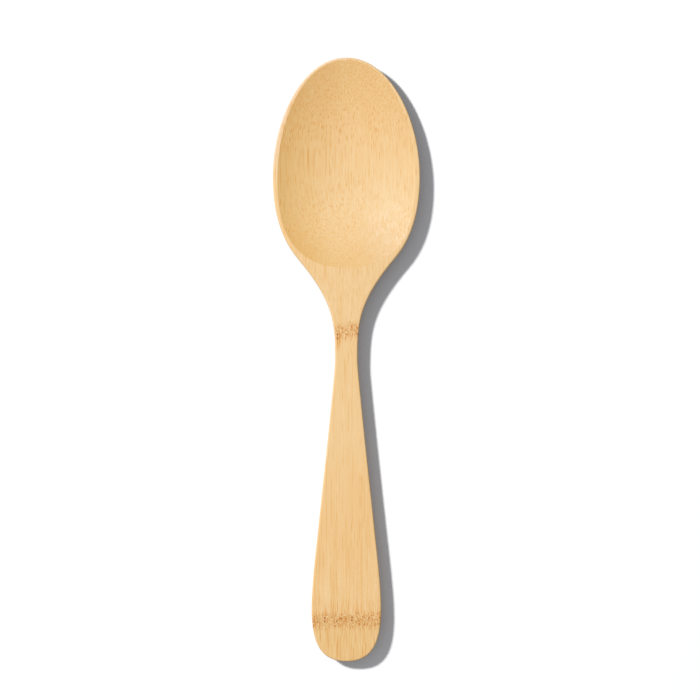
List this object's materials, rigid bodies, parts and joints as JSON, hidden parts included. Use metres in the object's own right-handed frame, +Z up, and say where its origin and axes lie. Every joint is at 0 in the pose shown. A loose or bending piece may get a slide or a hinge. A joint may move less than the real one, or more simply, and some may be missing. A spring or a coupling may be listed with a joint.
{
  "type": "serving spoon",
  "caption": "Solid bamboo serving spoon with a broad shallow oval bowl, a slim neck and a flat handle that widens to a rounded end",
  "frame": {"origin": "bottom centre of the bounding box, on the surface the spoon lies on", "axes": "+Y along the spoon toward the tip of the bowl, +Z up out of the bowl, +X across the spoon"},
  "size_m": [0.0742, 0.305, 0.0105],
  "materials": {
    "bamboo": "satin, sanded smooth and lightly oiled, fine grain along the spoon"
  },
  "bodies": {
    "root": {"spoon": "bamboo"}
  },
  "joints": []
}
